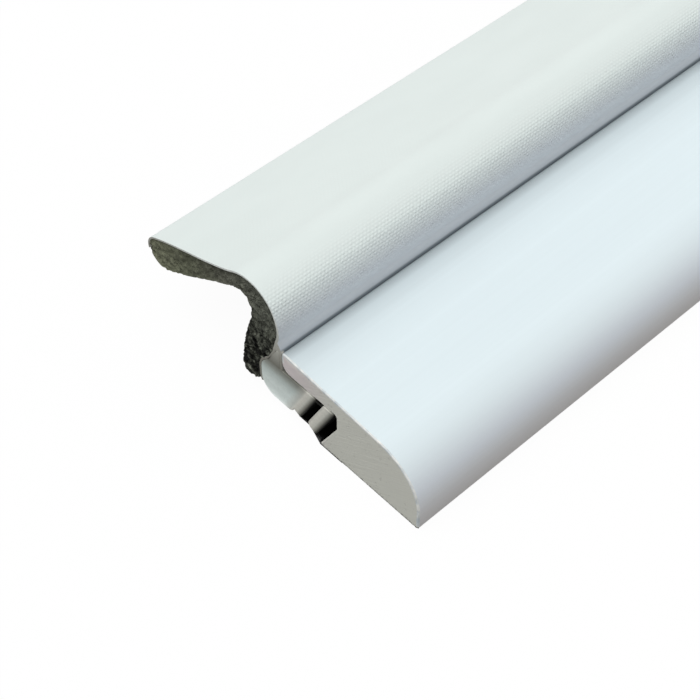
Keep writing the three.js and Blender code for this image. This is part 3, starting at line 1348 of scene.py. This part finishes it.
# %% Give the pieces their finishes
FILM_FRONT, FILM_EDGE = 0, 1
finishes = [
    (carrier, [carrier_skin(), carrier_core(), cut_rim_highlight()]),
    (insert, [insert_plastic()]),
    (foam, [foam_finish()]),
    (film, [film_finish(), film_edge()]),
]
for piece, materials in finishes:
    for material in materials:
        piece.data.materials.append(material)
    print(piece.name, [material.name for material in materials])
for face in film.data.polygons:
    face.material_index = FILM_EDGE if faces_the_length(face) else FILM_FRONT

# %% [markdown]
# ## Floor and light
#
# Half of the light is a wide even sky, and half is one large soft lamp overhead, on the
# leaf's side and a little towards the near cut, so that the leaf shades the carrier beside
# it. The white floor throws back less light than it shows, so the sides of the strip keep
# their grey. It is painted black in the slots beside the barbs, a painted shade where no light
# would reach, as long as the seal closes them.

# %% Floor
floor_size = 12
floor_drop = 0.05 * MM
bounce_grey = (0.18, 0.18, 0.18, 1)
slot_painted_black = (0.004, 0.004, 0.004, 1)
white = (1, 1, 1, 1)
shadow_share = 0.04
slot_shade_slant = 0.335
slot_shade_start = 1.0 * MM
slot_shade_end = 1.7 * MM
slot_shade_back = 4 * MM
slot_shade_reach = 6 * MM
slot_open_share = 0.85
slot_closed_share = 0.55


def painted_slot_shade(wiring):
    """Where the floor is painted black as shade: 1 under the closed slots, from a slanted line
    just inside each cut.
    """
    x, y, _ = wiring.split(wiring.add("TexCoord").outputs["Object"])
    past_foot = wiring.minus(y, nose - rebate_foot)
    slant = wiring.times(wiring.math("MAXIMUM", past_foot, 0.0), slot_shade_slant)
    slant = wiring.math("MINIMUM", slant, slot_shade_start)
    inside = wiring.math("GREATER_THAN", from_cut(wiring, x), slant)
    behind_foot = wiring.math("GREATER_THAN", past_foot, -slot_shade_back)
    before_head = wiring.math("LESS_THAN", y, nose - slot_shade_end)
    around = {"Distance": slot_shade_reach}
    open_share = wiring.add("AmbientOcclusion", around, samples=16).outputs["AO"]
    closed = wiring.fade(open_share, slot_open_share, slot_closed_share)
    return wiring.times(inside, behind_foot, before_head, closed)


def seen_directly(wiring, rays):
    """1 where the camera or a reflection sees the surface, and 0 for the light it throws."""
    return wiring.math("MAXIMUM", rays["Is Camera Ray"], rays["Is Glossy Ray"])


def floor_material():
    material = bpy.data.materials.new("floor")
    material.use_nodes = True
    material.node_tree.nodes.clear()
    wiring = Wiring(material.node_tree)
    is_seen = seen_directly(wiring, wiring.add("LightPath").outputs)
    matte = wiring.add("BsdfDiffuse", {"Color": wiring.mix(is_seen, bounce_grey, white)})
    glow = wiring.add("Emission")
    glow_share = wiring.times(is_seen, 1 - shadow_share)
    shown = wiring.add("MixShader", {0: glow_share, 1: matte.outputs[0], 2: glow.outputs[0]})
    # Painted black shade on the floor under the closed slots
    black = wiring.add("BsdfDiffuse", {"Color": slot_painted_black})
    inputs = {0: painted_slot_shade(wiring), 1: shown.outputs[0], 2: black.outputs[0]}
    surface = wiring.add("MixShader", inputs).outputs[0]
    wiring.add("OutputMaterial", {"Surface": surface})
    return material


bpy.ops.object.select_all(action="DESELECT")
bpy.ops.mesh.primitive_plane_add(size=floor_size, location=(0, 0, -floor_drop))
bpy.ops.object.transform_apply(location=True, rotation=True, scale=True)
floor = bpy.context.object
floor.name = "floor"
floor.data.materials.append(floor_material())
print("floor", floor_size, "m wide,", round(floor_drop / MM, 2), "mm under the back")

# %% Sky
sky_strength = 0.5

world = bpy.data.worlds.new("studio")
bpy.context.scene.world = world
world.use_nodes = True
sky_wiring = Wiring(world.node_tree)
sky_rays = sky_wiring.add("LightPath").outputs
sky_seen = seen_directly(sky_wiring, sky_rays)
sky_seen = sky_wiring.math("MAXIMUM", sky_seen, sky_rays["Is Transmission Ray"])
background = world.node_tree.nodes["Background"].inputs
background["Color"].default_value = white
sky_wiring.feed(background["Strength"], sky_wiring.between(sky_seen, sky_strength, 1.0))

# %% Lamp
key_strength = 1.6
key_spread = 55
key_from = Vector((-0.3, 0.14, 0.94))

key_data = bpy.data.lights.new("key", "SUN")
key_data.energy = key_strength
key_data.angle = math.radians(key_spread)
key = bpy.data.objects.new("key", key_data)
key.rotation_euler = key_from.to_track_quat("Z", "Y").to_euler()
bpy.context.scene.collection.objects.link(key)

bpy.context.scene.view_settings.view_transform = "Standard"
print("sky", sky_strength, "and lamp", key_strength)
